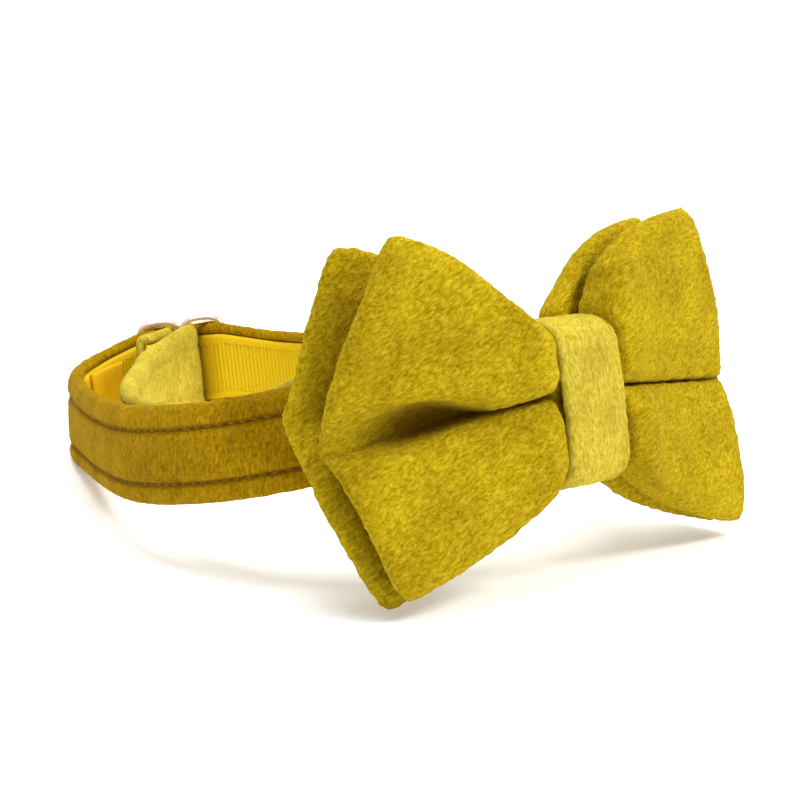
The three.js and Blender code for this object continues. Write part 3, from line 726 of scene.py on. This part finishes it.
axis, front_of = heading(clasp_turn), clasp_turn + math.pi / 2
start = bar_at(1) + heading(front_of) * wrap
home = arc(bar_at(-1), wrap, front_of, math.pi, 6)
outer_points = [start, start + axis * clasp_bar / 2, *mapped(left_stretch), *threaded(),
                *mapped(right_stretch), *home, home[-1] - axis * clasp_bar]
away = heading(return_turn)
fold = arc(slider_middle, nip, return_turn - math.pi / 2, math.pi, 6)
inner_points = [*(fold[0] + away * run for run in (22.0, 14.5, 7.3)), *fold, fold[-1] + away * 8.8,
                *mapped(inner_stretch),
                *arc(bar_at(1), wrap, clasp_turn - math.pi / 2, math.pi - 3 * clear / wrap, 6)]
outer_line = smooth_line(outer_points, 0.9)
inner_line = smooth_line(inner_points, 0.9)
print("bands in mm:", [round(float(lengths_along(line)[-1])) for line in (outer_line, inner_line)])

# %% [markdown]
# Sewing the strap
#
# The cover's section is puffed between its two rows of topstitching, and each row lies in a groove
# that the thread pulls into the plush. The cloth turns over both edges and holds the webbing in
# between. At the slider the metal nips the strap thinner and its edges swell up to the wire, and
# at the far turn the strap leans in a little. Each row of the tables is a depth, with the outer
# face positive, and a place across the strap.

# %% Strap sections
groove_depths = [(1.85, -1.05), (1.50, -0.35), (0.95, 0.0), (1.45, 0.35), (1.85, 1.15)]
turned_edge = [(1.95, 7.6), (1.70, 8.8), (1.05, 9.6), (0.10, 10.0), (-0.85, 9.75), (-1.55, 9.1),
               (-1.85, 8.3), (-1.60, 7.75), (-0.90, 7.62), (-0.30, 7.60)]
upper_groove, lower_groove = 5.05, 5.8


def cover_side(groove, depth_share):
    rows = [(1.85 - (1.85 - depth) * depth_share, groove + across) for depth, across in groove_depths]
    return [(2.02, 2.4), *rows, *turned_edge]


def cover_ring(depth_share=1.0):
    above, below = cover_side(upper_groove, depth_share), cover_side(lower_groove, depth_share)
    return [(2.05, 0.0), *above, *[(depth, -across) for depth, across in reversed(below)]]


lining_ring = [
    (-1.72, 7.3), (-1.80, 5.0), (-1.84, 0.0), (-1.80, -5.0), (-1.72, -7.3), (-1.40, -7.45),
    (-0.62, -7.45), (-0.55, -7.2), (-0.55, 0.0), (-0.55, 7.2), (-0.62, 7.45), (-1.40, 7.45),
]


# %% Directions and thickness along a line
def frames_along(line):
    """The level direction out of the loop at each place of a line."""
    ahead = np.gradient(line, axis=0)
    outward = np.stack([-ahead[:, 1], ahead[:, 0], np.zeros(len(line))], axis=1)
    return outward / np.linalg.norm(outward, axis=1)[:, None]


swelling_run = 13.0


def thickness_along(line):
    away_by = np.linalg.norm(line - slider_middle, axis=1)
    nipped = bar_pitch + squeezed
    return squeezed + (full - squeezed) * smooth_step(nipped, nipped + swelling_run, away_by)


# %% Bands from a section
def band(name, line, ring, spacing, seams=()):
    """Carries a closed ring along a line. seams are places along it where a stitch row crosses."""
    section = smooth_line(ring, spacing, closed=True)
    outward, thick = frames_along(line), thickness_along(line) / full
    along = lengths_along(line)
    pull = sum((np.exp(-(((along - seam) / 0.7) ** 2)) for seam in seams), np.zeros(len(line)))
    depth = section[None, :, 0] * thick[:, None]
    depth = np.where(depth > 0.9, depth - 0.7 * pull[:, None] * (section[None, :, 0] > 1), depth)
    rows = line[:, None, :] + outward[:, None, :] * depth[:, :, None]
    by_slider = np.exp(-((np.linalg.norm(line - slider_middle, axis=1) / 13) ** 2))
    across = section[None, :, 1] * (1 + 0.11 * by_slider[:, None])
    rows[:, :, 2] += across
    far_turn = np.exp(-((np.linalg.norm(line[:, :2] - (4, 136), axis=1) / 26) ** 2))
    rows[:, :, 0] += 0.13 * far_turn[:, None] * across
    places = carried(rows.reshape(-1, 3), strap_place).reshape(rows.shape)
    return skin(name, places, lengths_along(section))


# %% Shade of the stitch grooves
def shade_grooves(piece, line, seams=(), strength=0.9):
    """Paints shade into the stitch grooves of a cover and where seams cross it, by how far each point is
    across and in.
    """
    matrix = np.array(strap_place.inverted())
    local = (places_of(piece.data) @ matrix[:3, :3].T + matrix[:3, 3]) / MM
    nearest = np.empty(len(local), int)
    for begin in range(0, len(local), 4000):
        apart = np.linalg.norm(local[begin:begin + 4000, None, :2] - line[None, :, :2], axis=2)
        nearest[begin:begin + 4000] = apart.argmin(axis=1)
    outward = frames_along(line)[nearest]
    offset = local - line[nearest]
    depth, across = (offset * outward).sum(axis=1), offset[:, 2]
    outside = depth > 0.2
    groove_at = np.where(across > 0, upper_groove, lower_groove)
    groove = np.exp(-(((np.abs(across) - groove_at) / 0.42) ** 2)) * outside
    run = lengths_along(line)[nearest]
    crossing_seams = sum((np.exp(-(((run - seam) / 0.5) ** 2)) for seam in seams), 0 * depth)
    mark_pressed(piece.data, np.clip(strength * np.maximum(groove, 0.8 * crossing_seams * outside), 0, 1))


# %% [markdown]
# Cover and lining of both bands
#
# The outer band has a seam across it before the far left turn, where its velvet is joined. The inner
# band's turned end is sewn down with one row of stitches across it, a strap's width from the fold.

# %% Seam places
def nearest_index(line, spot):
    return int(np.linalg.norm(line - spot, axis=1).argmin())


outer_run, inner_run = lengths_along(outer_line), lengths_along(inner_line)
joint_place, tab_place = mapped([(-0.130, 0.832, 0.03), (0.330, 1.000, 0.22)])
tab_index = nearest_index(outer_line, tab_place)
outer_seams = [outer_run[nearest_index(outer_line, joint_place)]]
inner_seams = [inner_run[nearest_index(inner_line, fold[3])] + 21.0]
print("seams at", np.round([*outer_seams, *inner_seams]), "mm")

# %% Sew the bands
strap_cover = band("strap_velvet_cover", outer_line, cover_ring(), 0.75, outer_seams)
shade_grooves(strap_cover, outer_line, outer_seams)
raise_pile(strap_cover.data, 0.16, 1.1)
# The outer cover wears the darker copy of the velvet: painted shade.
dress(strap_cover, strap_velvet_shaded, "velvet", "strap_cover")
strap_lining = band("strap_webbing", outer_line, lining_ring, 0.9)
dress(strap_lining, webbing, "webbing", "strap_lining")
inner_cover = band("inner_velvet_cover", inner_line, cover_ring(0.35), 0.75, inner_seams)
shade_grooves(inner_cover, inner_line, inner_seams, 0.3)
raise_pile(inner_cover.data, 0.12, 1.1)
# The inner cover wears the paler copy of the velvet: painted light.
dress(inner_cover, light_velvet, "light_velvet", "return_cover")
inner_lining = band("inner_webbing", inner_line, lining_ring, 0.9)
dress(inner_lining, webbing, "webbing", "return_lining")

# %% [markdown]
# Topstitching
#
# A sewing machine's stitch is a short bead of thread, a little under three millimetres long, that
# dips into the cloth at both ends. One bead is a small stretched ball, and it is set down again
# and again along each row.

# %% Stitch rows
def stitch_row(name, line, across, depth, thread, pitch=2.7, gauge=0.24):
    outward, run = frames_along(line), lengths_along(line)
    thick = thickness_along(line) / full
    beads = bmesh.new()
    for at in np.arange(run[0] + 3, run[-1] - 3, pitch):
        i = min(int(np.searchsorted(run, at)), len(line) - 2)
        ahead = line[i + 1] - line[i - 1]
        ahead = ahead / np.linalg.norm(ahead)
        middle = line[i] + outward[i] * depth * thick[i] + np.array([0, 0, across])
        turn_to = Matrix((ahead, outward[i], np.cross(ahead, outward[i]))).transposed().to_4x4()
        size = Matrix.Diagonal((pitch * 0.46 * MM, gauge * MM, gauge * MM, 1))
        set_down = strap_place @ Matrix.Translation(Vector(middle) * MM) @ turn_to @ size
        bmesh.ops.create_uvsphere(beads, u_segments=6, v_segments=5, radius=1, matrix=set_down)
    mesh = bpy.data.meshes.new(name)
    beads.to_mesh(mesh)
    beads.free()
    return dress(as_object(name, mesh), thread, None)


for side, across, inside in (("upper", upper_groove, 5.6), ("lower", -lower_groove, -5.6)):
    stitch_row(f"outer_topstitch_{side}", outer_line, across, 1.02, brown_thread)
    stitch_row(f"lining_stitch_{side}", outer_line, inside, -1.86, golden_thread, gauge=0.12)
    stitch_row(f"inner_topstitch_{side}", inner_line, across, 1.5, golden_thread, gauge=0.12)

# %% [markdown]
# The webbing's sewn end
#
# Inside the far turn the webbing's end is folded to a short tab. It is sewn at one edge, and
# its free edge stands off a little and throws a sharp shadow. The tab's webbing is a more orange
# copy whose colour is raised to make up for the shade it lies in: painted light.

# %% Seam tab
tab_spot = outer_line[tab_index]
tab_ahead = outer_line[tab_index + 14] - tab_spot
tab_ahead = tab_ahead / np.linalg.norm(tab_ahead)
tab_out = np.array([-tab_ahead[1], tab_ahead[0], 0]) / math.hypot(tab_ahead[0], tab_ahead[1])
tab_lift = thickness_along(outer_line)[tab_index] / 2 + clear
tab_points = [tab_spot + tab_ahead * run - tab_out * (tab_lift + off + 0.55)
              for run, off in ((0.1, 0), (3.2, 0.1), (6.2, 0.8), (8.8, 2.2))]
tab_line = smooth_line(tab_points, 0.5)
tab_ring = smooth_line([(0.5, -6.3), (0.5, 6.3), (0.3, 6.6), (-0.3, 6.6), (-0.5, 6.3), (-0.5, -6.3),
                        (-0.3, -6.6), (0.3, -6.6)], 0.6, closed=True)
tab_outward = frames_along(tab_line)
tab_rows = tab_line[:, None, :] + tab_outward[:, None, :] * tab_ring[None, :, 0:1]
tab_rows = tab_rows + np.array([0, 0, 1.0]) * tab_ring[None, :, 1:2]
seam_tab = skin("webbing_tab", carried(tab_rows.reshape(-1, 3), strap_place).reshape(tab_rows.shape),
                lengths_along(tab_ring))
dress(seam_tab, tab_webbing_lit, "webbing", "seam_tab")

# %% [markdown]
# The knot band
#
# A strip of the same velvet is wrapped round the bow and the strap and closed behind. Its nap is
# brushed the other way, and its finish is the paler copy of the velvet, which paints in the light
# that the nap catches. Its line goes round the waist of the bow, seen from the side, and its section
# is a padded strip with folded edges. In front it is crowned in the middle and thins towards both
# edges.

# %% Knot band
knot_height, knot_depth, knot_corner = 33.4, 23.2, 6.0
knot_front, knot_rear = knot_corner, knot_depth - knot_corner
knot_upper, knot_lower = knot_height / 2 - knot_corner, knot_corner - knot_height / 2


def round_corner(y, z, begin):
    angles = [math.radians(begin - step) for step in (0, 22.5, 45, 67.5, 90)]
    return [(y + knot_corner * math.cos(angle), z + knot_corner * math.sin(angle)) for angle in angles]


knot_path = [*round_corner(knot_front, knot_upper, 180), *round_corner(knot_rear, knot_upper, 90),
             *round_corner(knot_rear, knot_lower, 0), *round_corner(knot_front, knot_lower, -90)]
knot_line = smooth_line(knot_path, 0.6, closed=True)
knot_ring = smooth_line([(-0.55, -9.35), (-0.10, -9.1), (0.15, -7.2), (0.75, -3.0), (0.9, 0), (0.75, 3.0),
                         (0.15, 7.2), (-0.10, 9.1), (-0.55, 9.35), (-1.35, 9.3), (-1.68, 8.6), (-1.7, 4),
                         (-1.7, -4), (-1.68, -8.6), (-1.35, -9.3)], 0.6, closed=True)
print("knot is", knot_height, "mm high and", knot_depth, "mm deep")

# %% Wrap the knot
ahead = np.gradient(knot_line, axis=0)
ahead[0] = ahead[-1] = knot_line[1] - knot_line[-2]
outward = np.stack([-ahead[:, 1], ahead[:, 0]], axis=1)
outward = outward / np.linalg.norm(outward, axis=1)[:, None]
facing = np.clip(-outward[:, 0], 0, 1)[:, None]
knot_off = knot_ring[None, :, 0] * np.where(knot_ring[None, :, 0] > 0, facing, 1)
knot_rows = np.zeros((len(knot_line), len(knot_ring), 3))
knot_rows[:, :, 0] = knot_ring[None, :, 1]
knot_rows[:, :, 1:] = knot_line[:, None, :] + outward[:, None, :] * knot_off[:, :, None]
knot = skin("knot_wrap", carried(knot_rows.reshape(-1, 3), bow_place).reshape(knot_rows.shape),
            lengths_along(knot_ring), closed_along=True)
raise_pile(knot.data, 0.2, 1.2, (1.0, 1.0, 0.6))
dress(knot, light_velvet, "light_velvet", "knot_band")

# %% [markdown]
# The slider
#
# A length of wire is bent into two arches above and two below and soldered at the dips to a
# straight middle bar. It is a round section carried along the bent line. The bar is a second
# round, and its ends sink into the dips.

# %% Slider wire
radius, top, dip = wire / 2, 26.3 / 2 - wire / 2, 1.4
quarter = [(1.00, -0.60), (1.00, 0.05), (0.93, 0.55), (0.77, 0.88), (0.53, 1.00), (0.28, 0.86)]
arch_rise = top - strap_width / 2
shoulder = [np.array([run * bar_pitch, strap_width / 2 + height * arch_rise]) for run, height in quarter]
half = [*shoulder, np.array([0, top - dip]), *[point * (-1, 1) for point in reversed(shoulder)]]
wire_line = smooth_line([*half, *[-point for point in half]], 0.55, closed=True)
bar_line = np.array([(0.0, z) for z in np.linspace(dip - top, top - dip, 30)])


def wire_skin(name, line, closed):
    along = np.gradient(line, axis=0)
    if closed:
        along[0] = along[-1] = line[1] - line[-2]
    along = along / np.linalg.norm(along, axis=1)[:, None]
    turned = [math.tau * k / 16 for k in range(17)]
    rows = np.array([
        [(run + radius * math.cos(a) * -step_z, radius * math.sin(a), z + radius * math.cos(a) * step_run)
         for a in turned]
        for (run, z), (step_run, step_z) in zip(line, along)])
    spun = np.array(Matrix.Rotation(slider_turn, 3, "Z"))
    places = rows.reshape(-1, 3) @ spun.T + slider_middle
    return skin(name, carried(places, strap_place).reshape(rows.shape), np.array(turned) * radius, closed)


dress(wire_skin("slider_wire", wire_line, True), rose_gold, "rose_gold", "slider")
dress(wire_skin("slider_bar", bar_line, False), rose_gold, "rose_gold")

# %% [markdown]
# The clasp
#
# The clasp sits behind the left lobe. Its solid is already the right shape, so it stays and gets
# softened edges and its plastic finish.

# %% Clasp finish
clasp = solids["clasp"]
clasp.data.materials.clear()
clasp.data.materials.append(clasp_plastic)
edges = clasp.modifiers.new("moulded edges", "BEVEL")
edges.width, edges.segments, edges.limit_method = 0.4 * MM, 2, "ANGLE"
print("clasp keeps its solid")
